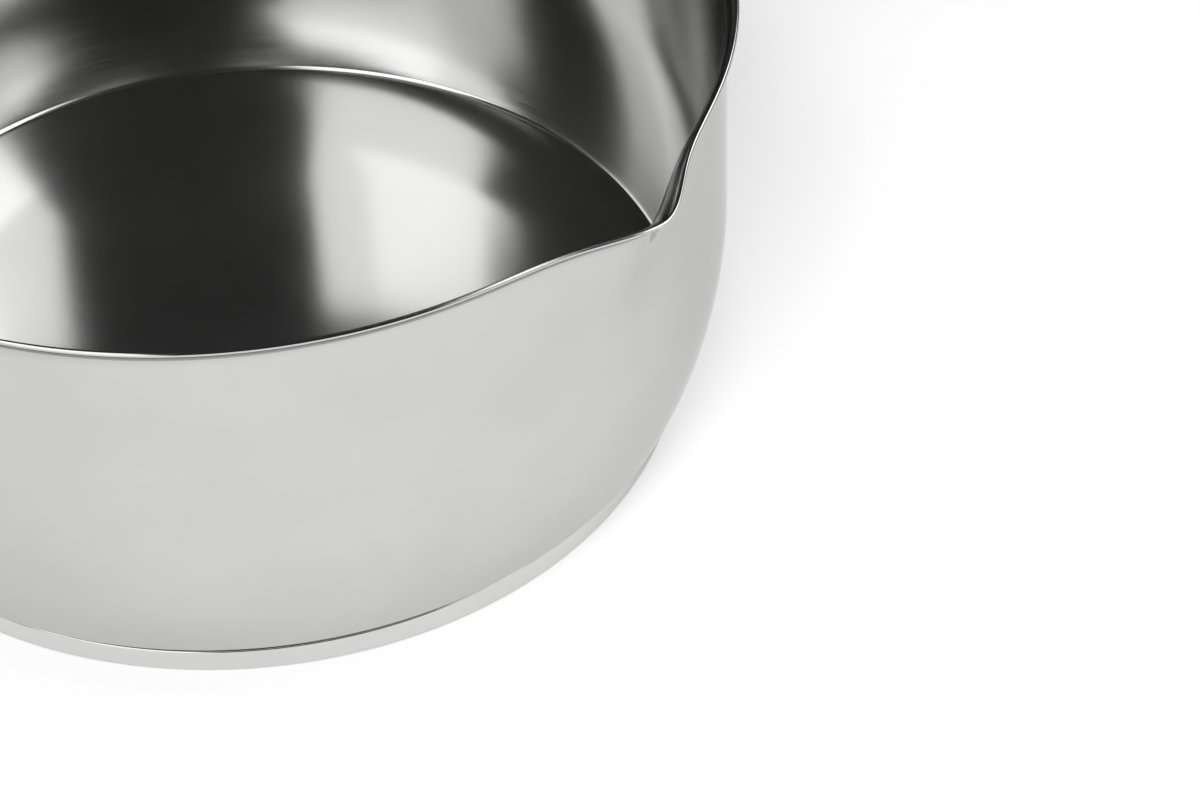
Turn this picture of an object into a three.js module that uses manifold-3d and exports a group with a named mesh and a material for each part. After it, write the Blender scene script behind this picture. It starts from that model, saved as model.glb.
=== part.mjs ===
// One-handled stainless saucepan with a pouring lip, a three-layer base and a screwed-on grip.
// Millimetres, +Z up. The origin is the centre of the base's underside, the handle runs along +X
// and the lip pours towards -Y.
import * as THREE from "three";
import { mergeVertices } from "three/addons/utils/BufferGeometryUtils.js";
import Module from "manifold-3d";

const wasm = await Module();
wasm.setup();

// Bowl, drawn from one disc of sheet
const bowlBore = 160;
const bowlSheet = 0.8;
const panHeight = 74.3;
const cornerRadius = 2;
const bellyRadius = 74;
const bellyTop = 36.5;

// Rim, rolled outwards
const rimFlare = 2.1;
const rimAngle = 0.9;

// Pouring lip, pressed out of the rim
const lipReach = 7.2;
const lipSpread = 7.6;
const lipSharpness = 1.7;
const lipDepth = 30;

// Base, an aluminium core in a steel cap whose edge stops short of the bowl and leaves a groove
const capInset = 8.3;
const capSheet = 0.6;
const capEdgeRadius = 1;
const grooveHeight = 1.7;
const coreThickness = 5.1;
const coreSetback = 2.7;
const bondGap = 0.2;

// Screw, washer and nut, thread size four
const screwDiameter = 4;
const screwHeadDiameter = 7;
const screwHeadHeight = 2.8;
const screwPastNut = 2;
const driverSlotWidth = 1;
const driverSlotDepth = 1.3;
const washerDiameter = 8;
const washerThickness = 0.9;
const nutSide = 7;
const nutThickness = 3.2;

// Bracket, a saddle with a square stub around the nut
const bracketSheet = 2;
const saddleDrop = 3.5;
const saddleMargin = 5.5;
const stubWall = 1.6;
const stubEndWall = 2.4;

// Spot welds that hold the saddle's ears on the wall
const weldDiameter = 5;
const weldMargin = 5.5;
const weldClear = 4.5;

// Handle, tilted up from the wall by an angle in radians
const handleTilt = 0.21;

// Flame guard, a sleeve around the stub that widens towards the grip
const guardLength = 20;
const guardSheet = 0.8;
const guardRoomBeside = 3.7;
const guardRoomAbove = 2.2;
const guardWiden = 1.4;

// Grip, moulded around the screw's bore
const gripLength = 150;
const gripBellyWidth = 25;
const gripBellyHeight = 21;
const gripRearWidth = 27;
const gripRearHeight = 17;
const gripNose = 13;
const gripEndWall = 1.8;
const gripEdge = 1;
const ovalPower = 0.8;
const keyDepth = 4;
const headRecess = 6;

// Hanging slot through the end of the grip
const slotWidth = 10;
const slotLength = 32;
const slotEndWall = 12;

// Clearances
const fit = 0.3;
const boreFit = 0.4;

// Facet counts
const bowlSteps = 88;
const lipCrowding = 0.55;
const baseSteps = 60;
const saddleSteps = 120;
const arcSteps = 4;
const bellySteps = 6;
const lipRows = 6;
const fastenerSteps = 20;
const gripSides = 28;
const gripNoseRows = 5;
const gripRows = 12;

// Bowl and base
const bowlRadius = bowlBore / 2;
const wallRadius = bowlRadius + bowlSheet;
const rimRadius = rimFlare / (1 - Math.cos(rimAngle));
const rimStart = panHeight - (rimRadius + bowlSheet) * Math.sin(rimAngle);
const floorZ = capSheet + coreThickness + 2 * bondGap;
const cornerZ = floorZ + cornerRadius;
const bellyAxis = wallRadius - bellyRadius;
const bellyLean = Math.asin((bellyTop - cornerZ) / (bellyRadius - cornerRadius));
const flatRadius = bellyAxis + (bellyRadius - cornerRadius) * Math.cos(bellyLean);
const capRadius = wallRadius - capInset;
const capTop = floorZ - grooveHeight;

// Bracket and guard
const pocketSide = nutSide + 2 * boreFit;
const stubSide = pocketSide + 2 * stubWall;
const guardWidth = stubSide + 2 * (guardRoomBeside + guardSheet);
const guardHeight = stubSide + 2 * (guardRoomAbove + guardSheet);
const weldPitch = guardWidth + weldDiameter + 2 * weldClear;
const saddleRadius = guardHeight / 2 + saddleMargin;
const earRadius = weldDiameter / 2 + weldMargin;
const saddleInner = wallRadius + fit;
const saddleOuter = saddleInner + bracketSheet;
const handleZ = rimStart - saddleDrop - saddleRadius;

// Places along the handle, from the wall outwards
const gripStart = guardLength + fit;
const gripEnd = gripStart + gripLength;
const stubEnd = gripStart + keyDepth;
const socketFloor = stubEnd + fit;
const nutFace = stubEnd - stubEndWall - fit;
const screwTip = nutFace - nutThickness - screwPastNut;
const slotRear = gripEnd - slotEndWall;
const slotFront = slotRear - slotLength;
const headSeat = slotFront - headRecess;
const gripFrontWidth = guardWidth + 2 * guardWiden;
const gripFrontHeight = guardHeight + 2 * guardWiden;
const headBore = washerDiameter + 2 * boreFit;
const gripEndSide = headBore + 2 * gripEndWall;

// Handle frame: its origin is on the wall, and its X axis is the screw's axis
const handle = new THREE.Group();
handle.position.set(wallRadius, 0, handleZ);
handle.rotation.y = -handleTilt;
handle.updateMatrix();

// Finishes
function steel(roughness) {
  return new THREE.MeshStandardMaterial({ color: 0xcccccb, roughness, metalness: 1 });
}
function aluminium() {
  return new THREE.MeshStandardMaterial({ color: 0xd6d7d9, roughness: 0.5, metalness: 1 });
}
function phenolic() {
  return new THREE.MeshStandardMaterial({ color: 0x1c1b1b, roughness: 0.42, metalness: 0 });
}

// Closed geometry as a solid that can be joined and cut
function solidOf(geometry) {
  const bare = new THREE.BufferGeometry();
  bare.setAttribute("position", geometry.getAttribute("position"));
  bare.setIndex(geometry.index);
  const merged = mergeVertices(bare, 1e-3);
  const corners = merged.index.array;
  const kept = [];
  for (let i = 0; i < corners.length; i += 3) {
    const [a, b, c] = corners.slice(i, i + 3);
    if (a !== b && b !== c && c !== a) kept.push(a, b, c);
  }
  const vertProperties = merged.getAttribute("position").array;
  return new wasm.Manifold(new wasm.Mesh({ numProp: 3, vertProperties, triVerts: new Uint32Array(kept) }));
}

// Solid back to geometry
function geometryOf(solid) {
  const { vertProperties, triVerts } = solid.getMesh();
  const geometry = new THREE.BufferGeometry();
  geometry.setAttribute("position", new THREE.BufferAttribute(vertProperties, 3));
  geometry.setIndex(new THREE.BufferAttribute(triVerts, 1));
  geometry.computeVertexNormals();
  return geometry;
}

// Points of an arc about a centre, both ends included
function arc(x, y, radius, from, to, steps) {
  const points = [];
  for (let i = 0; i <= steps; i++) {
    const angle = from + ((to - from) * i) / steps;
    points.push(new THREE.Vector2(x + radius * Math.cos(angle), y + radius * Math.sin(angle)));
  }
  return points;
}

// Profile of radius and height turned about Z
function turned(profile, steps) {
  return new THREE.LatheGeometry(profile, steps).rotateX(Math.PI / 2);
}

// Profile of radius and distance turned about X
function turnedAlong(profile, steps) {
  return new THREE.LatheGeometry(profile, steps).rotateZ(-Math.PI / 2);
}

// Round bar along X
function bar(radius, from, to) {
  const profile = [
    new THREE.Vector2(0, from),
    new THREE.Vector2(radius, from),
    new THREE.Vector2(radius, to),
    new THREE.Vector2(0, to),
  ];
  return turnedAlong(profile, fastenerSteps);
}

// Upright drum about Z, for cuts that follow the wall
function drum(radius) {
  const profile = [
    new THREE.Vector2(0, 0),
    new THREE.Vector2(radius, 0),
    new THREE.Vector2(radius, panHeight + 2 * saddleRadius),
    new THREE.Vector2(0, panHeight + 2 * saddleRadius),
  ];
  return turned(profile, saddleSteps);
}

// Outline in the YZ plane pushed along X
function pushed(shape, from, to) {
  const geometry = new THREE.ExtrudeGeometry(shape, { depth: to - from, bevelEnabled: false });
  geometry.translate(0, 0, from);
  const frame = new THREE.Matrix4();
  frame.makeBasis(new THREE.Vector3(0, 1, 0), new THREE.Vector3(0, 0, 1), new THREE.Vector3(1, 0, 0));
  return geometry.applyMatrix4(frame);
}

// Square bar along X
function squareBar(side, from, to) {
  return new THREE.BoxGeometry(to - from, side, side).translate((from + to) / 2, 0, 0);
}

// Skin over oval sections along X, each { x, width, height }, closed at both ends
function lofted(sections, sides) {
  const points = [];
  const corners = [];
  const rounded = (value) => Math.sign(value) * Math.abs(value) ** ovalPower;
  for (const { x, width, height } of sections) {
    for (let i = 0; i < sides; i++) {
      const turn = (2 * Math.PI * i) / sides;
      points.push(x, (width / 2) * rounded(Math.cos(turn)), (height / 2) * rounded(Math.sin(turn)));
    }
  }
  const last = sections.length - 1;
  const startCentre = sections.length * sides;
  const endCentre = startCentre + 1;
  points.push(sections[0].x, 0, 0, sections[last].x, 0, 0);
  for (let i = 0; i < sides; i++) {
    const next = (i + 1) % sides;
    for (let row = 0; row < last; row++) {
      const a = row * sides + i;
      const b = row * sides + next;
      corners.push(a, b, b + sides, a, b + sides, a + sides);
    }
    corners.push(startCentre, next, i, endCentre, last * sides + i, last * sides + next);
  }
  const geometry = new THREE.BufferGeometry();
  geometry.setAttribute("position", new THREE.Float32BufferAttribute(points, 3));
  geometry.setIndex(corners);
  return geometry;
}

// Lower curve: a tight corner at the floor that runs on into the wide arc of the belly, moved in by an inset
function lowerCurve(inset) {
  const corner = arc(flatRadius, cornerZ, cornerRadius - inset, -Math.PI / 2, -bellyLean, arcSteps);
  const belly = arc(bellyAxis, bellyTop, bellyRadius - inset, -bellyLean, 0, bellySteps);
  return [...corner, ...belly.slice(1)];
}

// Bowl: one sheet thickness from the floor, round the lower curve, up the wall and out at the rim
function bowlProfile() {
  const wallRows = [];
  for (let i = 1; i < lipRows; i++) wallRows.push(bellyTop + ((rimStart - bellyTop) * i) / lipRows);
  const outside = [
    new THREE.Vector2(0, floorZ),
    ...lowerCurve(0),
    ...wallRows.map((z) => new THREE.Vector2(wallRadius, z)),
    ...arc(wallRadius + rimRadius, rimStart, rimRadius, Math.PI, Math.PI - rimAngle, arcSteps),
  ];
  const inside = [
    new THREE.Vector2(0, floorZ + bowlSheet),
    ...lowerCurve(bowlSheet),
    ...wallRows.map((z) => new THREE.Vector2(bowlRadius, z)),
    ...arc(wallRadius + rimRadius, rimStart, rimRadius + bowlSheet, Math.PI, Math.PI - rimAngle, arcSteps),
  ];
  return [...outside, ...inside.reverse()];
}

// Pouring lip: the wall near the rim moves out by a bell of the distance along the rim
function pressLip(geometry) {
  const position = geometry.getAttribute("position");
  const rimOuter = wallRadius + rimFlare;
  for (let i = 0; i < position.count; i++) {
    const radius = Math.hypot(position.getX(i), position.getY(i));
    const evenTurn = Math.atan2(position.getX(i), -position.getY(i));
    const turn = evenTurn - lipCrowding * Math.sin(evenTurn);
    const rise = Math.max(0, 1 - (panHeight - position.getZ(i)) / lipDepth) ** 2;
    const along = Math.abs(turn * rimOuter) / lipSpread;
    const pressed = radius + lipReach * rise * Math.exp(-0.5 * along ** lipSharpness);
    position.setX(i, pressed * Math.sin(turn));
    position.setY(i, -pressed * Math.cos(turn));
  }
  return geometry;
}

function panBody() {
  return geometryOf(solidOf(pressLip(turned(bowlProfile(), bowlSteps))));
}

// Cap: a shallow pressed cup, open towards the bowl
function baseCap() {
  const edgeX = capRadius - capEdgeRadius;
  const profile = [
    new THREE.Vector2(0, 0),
    ...arc(edgeX, capEdgeRadius, capEdgeRadius, -Math.PI / 2, 0, arcSteps),
    new THREE.Vector2(capRadius, capTop),
    new THREE.Vector2(capRadius - capSheet, capTop),
    ...arc(edgeX, capEdgeRadius, capEdgeRadius - capSheet, 0, -Math.PI / 2, arcSteps),
    new THREE.Vector2(0, capSheet),
  ];
  return turned(profile, baseSteps);
}

// Core: an aluminium disc in the cap, set back from its wall so that the groove is deep
function heatSpreader() {
  const radius = capRadius - capSheet - coreSetback;
  const bottom = capSheet + bondGap;
  const profile = [
    new THREE.Vector2(0, bottom),
    ...arc(radius - capEdgeRadius, bottom + capEdgeRadius, capEdgeRadius, -Math.PI / 2, 0, arcSteps),
    new THREE.Vector2(radius, bottom + coreThickness),
    new THREE.Vector2(0, bottom + coreThickness),
  ];
  return turned(profile, baseSteps);
}

// Saddle outline: a middle disc and two ears around the spot welds, joined by their tangents
function saddleShape() {
  const ear = weldPitch / 2;
  const lean = Math.acos((saddleRadius - earRadius) / ear);
  const shape = new THREE.Shape();
  shape.absarc(ear, 0, earRadius, -lean, lean);
  shape.absarc(0, 0, saddleRadius, lean, Math.PI - lean);
  shape.absarc(-ear, 0, earRadius, Math.PI - lean, Math.PI + lean);
  shape.absarc(0, 0, saddleRadius, Math.PI + lean, 2 * Math.PI - lean);
  return shape;
}

// Bracket: a saddle bent to the wall and a square stub that holds the nut
function handleBracket() {
  const plate = pushed(saddleShape(), 0, saddleOuter).translate(0, 0, handleZ);
  const stub = squareBar(stubSide, -stubSide, stubEnd).applyMatrix4(handle.matrix);
  const pocket = squareBar(pocketSide, -2 * stubSide, stubEnd - stubEndWall);
  const screwHole = bar(screwDiameter / 2 + fit, 0, 2 * stubEnd);
  let bracket = solidOf(plate).intersect(solidOf(drum(saddleOuter)));
  bracket = bracket.add(solidOf(stub));
  bracket = bracket.subtract(solidOf(drum(saddleInner)));
  bracket = bracket.subtract(solidOf(pocket.applyMatrix4(handle.matrix)));
  bracket = bracket.subtract(solidOf(screwHole.applyMatrix4(handle.matrix)));
  return geometryOf(bracket);
}

// Nut: square, a close fit in the stub's pocket
function bracketNut() {
  const half = nutSide / 2;
  const shape = new THREE.Shape();
  shape.moveTo(-half, -half).lineTo(half, -half).lineTo(half, half).lineTo(-half, half);
  shape.holes.push(new THREE.Path().absarc(0, 0, screwDiameter / 2 + fit, 0, 2 * Math.PI));
  return pushed(shape, nutFace - nutThickness, nutFace);
}

// Flame guard: an oval sleeve whose front edge follows the saddle
function flameGuard() {
  const frontX = -guardHeight;
  const inset = 2 * guardSheet;
  const ends = [
    { x: frontX, width: guardWidth, height: guardHeight },
    { x: 0, width: guardWidth, height: guardHeight },
    { x: guardLength, width: gripFrontWidth, height: gripFrontHeight },
  ];
  const hollow = ends.map(({ x, width, height }) => ({ x, width: width - inset, height: height - inset }));
  hollow[0].x -= fit;
  hollow[2].x += fit;
  const toHandle = handle.matrix.clone().invert();
  let guard = solidOf(lofted(ends, gripSides));
  guard = guard.subtract(solidOf(lofted(hollow, gripSides)));
  guard = guard.subtract(solidOf(drum(saddleOuter + fit).applyMatrix4(toHandle)));
  return geometryOf(guard);
}

// Grip sections: a soft belly, a flatter rear and a nose that closes round the screw's bore
function gripSections() {
  const widths = [gripFrontWidth, gripBellyWidth, gripRearWidth, gripRearWidth];
  const heights = [gripFrontHeight, gripBellyHeight, gripRearHeight, gripRearHeight];
  const noseStart = gripEnd - gripNose;
  const line = (sizes, share) => {
    const spline = new THREE.SplineCurve(sizes.map((size, i) => new THREE.Vector2(i, size)));
    return spline.getPoint(share).y;
  };
  const sections = [
    { x: gripStart, width: gripFrontWidth - 2 * gripEdge, height: gripFrontHeight - 2 * gripEdge },
  ];
  for (let i = 0; i <= gripRows; i++) {
    const share = i / gripRows;
    const x = gripStart + gripEdge + (noseStart - gripStart - gripEdge) * share;
    sections.push({ x, width: line(widths, share), height: line(heights, share) });
  }
  for (let i = 1; i <= gripNoseRows; i++) {
    const turn = ((Math.PI / 2) * i) / gripNoseRows;
    sections.push({
      x: noseStart + gripNose * Math.sin(turn),
      width: gripEndSide + (gripRearWidth - gripEndSide) * Math.cos(turn),
      height: gripEndSide + (gripRearHeight - gripEndSide) * Math.cos(turn),
    });
  }
  return sections;
}

// Hanging slot: a stadium through the grip's end
function slotCut() {
  const radius = slotWidth / 2;
  const shape = new THREE.Shape();
  shape.absarc(slotRear - radius, 0, radius, -Math.PI / 2, Math.PI / 2);
  shape.absarc(slotFront + radius, 0, radius, Math.PI / 2, 1.5 * Math.PI);
  const geometry = new THREE.ExtrudeGeometry(shape, { depth: 2 * gripBellyHeight, bevelEnabled: false });
  return geometry.translate(0, 0, -gripBellyHeight);
}

function handleGrip() {
  const cuts = [
    slotCut(),
    bar(screwDiameter / 2 + boreFit, gripStart, slotFront + slotWidth),
    bar(headBore / 2, headSeat, gripEnd + gripNose),
    squareBar(stubSide + 2 * boreFit, gripStart - keyDepth, socketFloor),
  ];
  let grip = solidOf(lofted(gripSections(), gripSides));
  for (const cut of cuts) grip = grip.subtract(solidOf(cut));
  return geometryOf(grip);
}

// Washer between the screw's head and its seat in the grip
function screwWasher() {
  const inner = screwDiameter / 2 + fit;
  const from = headSeat + fit;
  const profile = [
    new THREE.Vector2(inner, from),
    new THREE.Vector2(washerDiameter / 2, from),
    new THREE.Vector2(washerDiameter / 2, from + washerThickness),
    new THREE.Vector2(inner, from + washerThickness),
    new THREE.Vector2(inner, from),
  ];
  return turnedAlong(profile, fastenerSteps);
}

// Screw: a long shank and a slotted cylinder head
function handleScrew() {
  const seat = headSeat + 2 * fit + washerThickness;
  const top = seat + screwHeadHeight;
  const profile = [
    new THREE.Vector2(0, screwTip),
    new THREE.Vector2(screwDiameter / 2, screwTip),
    new THREE.Vector2(screwDiameter / 2, seat),
    new THREE.Vector2(screwHeadDiameter / 2, seat),
    new THREE.Vector2(screwHeadDiameter / 2, top),
    new THREE.Vector2(0, top),
  ];
  const slot = new THREE.BoxGeometry(2 * driverSlotDepth, 2 * screwHeadDiameter, driverSlotWidth);
  const screw = solidOf(turnedAlong(profile, fastenerSteps));
  return geometryOf(screw.subtract(solidOf(slot.translate(top, 0, 0))));
}

function piece(name, geometry, material) {
  const mesh = new THREE.Mesh(geometry, material);
  mesh.name = name;
  return mesh;
}

const saucepan = new THREE.Group();
saucepan.add(piece("pan_body", panBody(), steel(0.1)));
saucepan.add(piece("base_cap", baseCap(), steel(0.15)));
saucepan.add(piece("heat_spreader_disc", heatSpreader(), aluminium()));
saucepan.add(piece("handle_bracket", handleBracket(), steel(0.3)));
handle.add(piece("bracket_nut", bracketNut(), steel(0.4)));
handle.add(piece("flame_guard", flameGuard(), steel(0.2)));
handle.add(piece("handle_grip", handleGrip(), phenolic()));
handle.add(piece("handle_screw", handleScrew(), steel(0.4)));
handle.add(piece("screw_washer", screwWasher(), steel(0.4)));
saucepan.add(handle);

export default saucepan;
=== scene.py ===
# %% [markdown]
# # A stainless saucepan with a pouring lip
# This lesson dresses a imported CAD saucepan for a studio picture. The CAD model fixes where every piece
# is, so each surface here is worked out again from the same sizes, only finer and with rounded edges. A
# polished pan has hardly any colour of its own: what the eye reads is its shape and what it mirrors.

import math

import bpy
import numpy as np
from mathutils import Matrix, Quaternion, Vector


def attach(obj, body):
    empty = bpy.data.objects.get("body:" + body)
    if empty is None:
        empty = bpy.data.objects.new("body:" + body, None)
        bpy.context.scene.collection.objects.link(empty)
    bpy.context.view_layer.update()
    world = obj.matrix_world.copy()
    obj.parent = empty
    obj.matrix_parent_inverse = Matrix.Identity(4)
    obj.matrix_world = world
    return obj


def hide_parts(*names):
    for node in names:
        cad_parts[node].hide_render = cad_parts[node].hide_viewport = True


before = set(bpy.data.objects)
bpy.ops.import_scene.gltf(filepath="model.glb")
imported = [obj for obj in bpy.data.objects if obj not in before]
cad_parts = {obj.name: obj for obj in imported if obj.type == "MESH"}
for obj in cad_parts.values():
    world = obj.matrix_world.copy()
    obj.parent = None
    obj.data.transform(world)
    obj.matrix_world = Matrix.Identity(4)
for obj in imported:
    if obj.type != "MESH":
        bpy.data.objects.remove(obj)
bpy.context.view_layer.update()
MM = 0.001
scene = bpy.context.scene
scene.view_settings.view_transform = "Standard"
print("nodes:", sorted(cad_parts))

# %% [markdown]
# ## Camera
# The photograph was taken from above with a long lens, so the pan's circles show as nearly even ellipses.
# A pinhole camera could be placed by eye, but ellipses are unforgiving. Here the rim, the base and the
# wall were fitted together, which gives the lens, the place, and three turns: heading, tilt and a slight
# roll.

# %% Camera from the fitted view
photo_width = 1199
lens_pixels = 3779.5
sensor_width = 36.0
camera_place = Vector((-0.3390, -0.3486, 0.4197))
heading = math.radians(51.18)
tilt = math.radians(41.71)
roll = math.radians(-1.673)

lens = bpy.data.cameras.new("studio_camera")
lens.sensor_width = sensor_width
lens.lens = sensor_width * lens_pixels / photo_width
lens.clip_start = 0.01
lens.clip_end = 50.0
camera = bpy.data.objects.new("studio_camera", lens)
turn_to_heading = Matrix.Rotation(-heading, 4, "Z")
turn_down = Matrix.Rotation(math.pi / 2 - tilt, 4, "X")
turn_in_frame = Matrix.Rotation(roll, 4, "Z")
camera.matrix_world = Matrix.Translation(camera_place) @ turn_to_heading @ turn_down @ turn_in_frame
scene.collection.objects.link(camera)
scene.camera = camera
print("lens in mm:", round(lens.lens, 2))

# %% [markdown]
# ## Nodes and colours
# Every finish below is a small network of shader nodes. One helper adds a node, sets its options and
# either fills or links its inputs, so that a network reads like a list of steps. Colours are written as
# the sRGB hex values that a paint program shows, and one function turns them into the linear light
# Blender works in.


# %% Helpers for nodes and colours
def add(tree, kind, inputs=None, **options):
    """Adds a node, sets its options, and fills each named input with a value or links it to a socket."""
    made = tree.nodes.new(kind)
    for option, value in options.items():
        setattr(made, option, value)
    for socket, value in (inputs or {}).items():
        if isinstance(value, bpy.types.NodeSocket):
            tree.links.new(value, made.inputs[socket])
        else:
            made.inputs[socket].default_value = value
    return made


def linear(hex_colour):
    """sRGB hex to linear light: divide by 12.92 near black, otherwise a shifted power of 2.4."""
    srgb = np.array([int(hex_colour[i : i + 2], 16) for i in (1, 3, 5)]) / 255
    light = np.where(srgb <= 0.04045, srgb / 12.92, ((srgb + 0.055) / 1.055) ** 2.4)
    return (*light.tolist(), 1.0)


def empty_material(name):
    """A material that uses nodes, with its node tree emptied."""
    material = bpy.data.materials.new(name)
    material.use_nodes = True
    material.node_tree.nodes.clear()
    return material


print("steel in linear light:", [round(c, 3) for c in linear("#CCCCCB")])

# %% [markdown]
# ## Floor
# The pan stands on white paper that stays white up to the picture's edge, with a faint shadow beside the
# pan. Flooding the set with light would burn the steel out. Instead the paper is matt and pale, so that
# it takes the shadow, and rays from the camera or from a mirror see a little extra glow that lifts it to
# full white.

# %% White paper floor
floor_reach = 8.0
floor_drop = 0.0002
paper_glow = 0.47

floor_mesh = bpy.data.meshes.new("paper_floor")
corners = np.array([(-1, -1), (1, -1), (1, 1), (-1, 1)]) * floor_reach
floor_mesh.from_pydata(np.c_[corners, np.full(4, -floor_drop)].tolist(), [], [(0, 1, 2, 3)])
floor = bpy.data.objects.new("paper_floor", floor_mesh)
scene.collection.objects.link(floor)

paper = empty_material("matt white paper")
tree = paper.node_tree
path = add(tree, "ShaderNodeLightPath")
glossy_or_clear = add(
    tree,
    "ShaderNodeMath",
    {0: path.outputs["Is Glossy Ray"], 1: path.outputs["Is Transmission Ray"]},
    operation="MAXIMUM",
)
seen = add(
    tree,
    "ShaderNodeMath",
    {0: path.outputs["Is Camera Ray"], 1: glossy_or_clear.outputs[0]},
    operation="MAXIMUM",
)
glow = add(tree, "ShaderNodeMath", {0: seen.outputs[0], 1: paper_glow}, operation="MULTIPLY")
matt = add(tree, "ShaderNodeBsdfDiffuse", {"Color": linear("#B3B3B3")})
light = add(tree, "ShaderNodeEmission", {"Color": linear("#FFFFFF"), "Strength": glow.outputs[0]})
lit = add(tree, "ShaderNodeAddShader", {0: matt.outputs[0], 1: light.outputs[0]})
side = add(tree, "ShaderNodeNewGeometry")
clear = add(tree, "ShaderNodeBsdfTransparent")
one_sided = add(
    tree,
    "ShaderNodeMixShader",
    {0: side.outputs["Backfacing"], 1: lit.outputs[0], 2: clear.outputs[0]},
)
add(tree, "ShaderNodeOutputMaterial", {"Surface": one_sided.outputs[0]})
floor_mesh.materials.append(paper)
print("floor is", 2 * floor_reach, "m wide")

# %% [markdown]
# ## Studio light
# The bowl's inside is the picture's light map: it mirrors a tall softbox on the left with a low one
# beside it, a long one on the right with a dimmer end, a small lit card close by on the left, and a dark
# room between them. Tracing mirrored rays from the picture back through the bowl gave each one's
# direction and brightness. The boxes are area lamps, and the card is a small glowing mesh, because a mesh
# also covers what is behind it.


# %% Softboxes, a lit card and a dim room
pan_middle = Vector((0, 0, 0.04))
box_distance, card_distance = 1.3, 0.195
card_half_width, card_half_height, card_radiance = 0.058, 0.032, 2.15


def towards_pan(azimuth, elevation, distance, turn, aside=0.0):
    """Place and rotation of something that faces the pan, turned about its own middle and then moved along
    its own width. Azimuth runs from -Y towards +X, and all angles are in degrees."""
    a, e = math.radians(azimuth), math.radians(elevation)
    away = Vector((math.sin(a) * math.cos(e), -math.cos(a) * math.cos(e), math.sin(e)))
    rotation = away.to_track_quat("Z", "Y") @ Quaternion((0, 0, 1), math.radians(turn))
    return pan_middle + distance * away + rotation @ Vector((aside, 0, 0)), rotation


def put_light(name, data, place):
    """Adds a light or a card to the studio, hidden from the camera itself."""
    holder = bpy.data.objects.new(name, data)
    holder.rotation_mode = "QUATERNION"
    holder.location, holder.rotation_quaternion = place
    holder.visible_camera = False
    scene.collection.objects.link(holder)
    return holder


def softbox(name, place, width, height, radiance):
    """Area lamp of an even radiance: its power is that times pi times its area."""
    lamp = bpy.data.lights.new(name, "AREA")
    lamp.shape = "RECTANGLE"
    lamp.size = width
    lamp.size_y = height
    lamp.energy = radiance * math.pi * width * height
    return put_light(name, lamp, place)


softbox("tall_softbox_left", towards_pan(-82.2, 31, box_distance, 21.7), 0.73, 2.80, 1.60)
softbox("long_softbox_right", towards_pan(47, 41.7, box_distance, 23.8, 0.415), 1.49, 1.06, 2.40)
softbox("dimmer_end_right", towards_pan(47, 41.7, box_distance, 23.8, -0.785), 0.91, 1.06, 1.65)
softbox("low_softbox_left", towards_pan(-109.2, 27.5, box_distance, 0), 0.58, 0.32, 1.6)
# The steel does not mirror this one: it stands close to the lens and only gives the paper its shadow
front = softbox("front_softbox", towards_pan(-57.2, 50, box_distance, 0), 0.42, 0.42, 24)
front.visible_glossy = False

card_size = (card_half_width, card_half_height, 0)
card_corners = np.array([(-1, -1, 0), (1, -1, 0), (1, 1, 0), (-1, 1, 0)]) * card_size
card_mesh = bpy.data.meshes.new("lit_card_left")
card_mesh.from_pydata(card_corners.tolist(), [], [(0, 1, 2, 3)])
card_white = empty_material("lit white card")
tree = card_white.node_tree
card_glow = add(tree, "ShaderNodeEmission", {"Color": linear("#FFFFFF"), "Strength": card_radiance})
add(tree, "ShaderNodeOutputMaterial", {"Surface": card_glow.outputs[0]})
card_mesh.materials.append(card_white)
put_light("lit_card_left", card_mesh, towards_pan(-114.9, 47.6, card_distance, 28.5))

room = bpy.data.worlds.new("dim_room")
room.use_nodes = True
tree = room.node_tree
tree.nodes.clear()
path = add(tree, "ShaderNodeLightPath")
dark = add(tree, "ShaderNodeBackground", {"Color": linear("#2E2E2E"), "Strength": 1.0})
white = add(tree, "ShaderNodeBackground", {"Color": linear("#FFFFFF"), "Strength": 1.0})
backdrop = add(
    tree,
    "ShaderNodeMixShader",
    {0: path.outputs["Is Camera Ray"], 1: dark.outputs[0], 2: white.outputs[0]},
)
add(tree, "ShaderNodeOutputWorld", {"Surface": backdrop.outputs[0]})
scene.world = room

# %% [markdown]
# ## From arrays to meshes
# All the pieces are grids of points. A grid that is closed one way is a tube, and a tube that ends in a
# single point at each end is a turned shape. The helpers join neighbouring points into faces as whole
# arrays, and test which way the faces point by the sign of the volume that they enclose.


# %% Helpers for grids and meshes
def grid_faces(rows, columns, closed_rows=False, closed_columns=True, start=0):
    """Quads between neighbouring rows and columns of a grid of points stored row by row."""
    i = np.arange(rows if closed_rows else rows - 1)[:, None]
    j = np.arange(columns if closed_columns else columns - 1)[None, :]
    below, beside = (i + 1) % rows, (j + 1) % columns
    quads = [i * columns + j, i * columns + beside, below * columns + beside, below * columns + j]
    return np.stack(np.broadcast_arrays(*quads), -1).reshape(-1, 4) + start


def fan_faces(centre, ring):
    """Triangles from one centre point to each pair of neighbours on a ring."""
    return np.stack([np.full_like(ring, centre), np.roll(ring, -1), ring], -1)


def enclosed_volume(points, triangles):
    """Sum of the signed volumes of the wedges between each triangle and the origin."""
    a, b, c = (points[triangles[:, k]] for k in range(3))
    return np.einsum("ij,ij->i", a, np.cross(b, c)).sum() / 6


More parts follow.
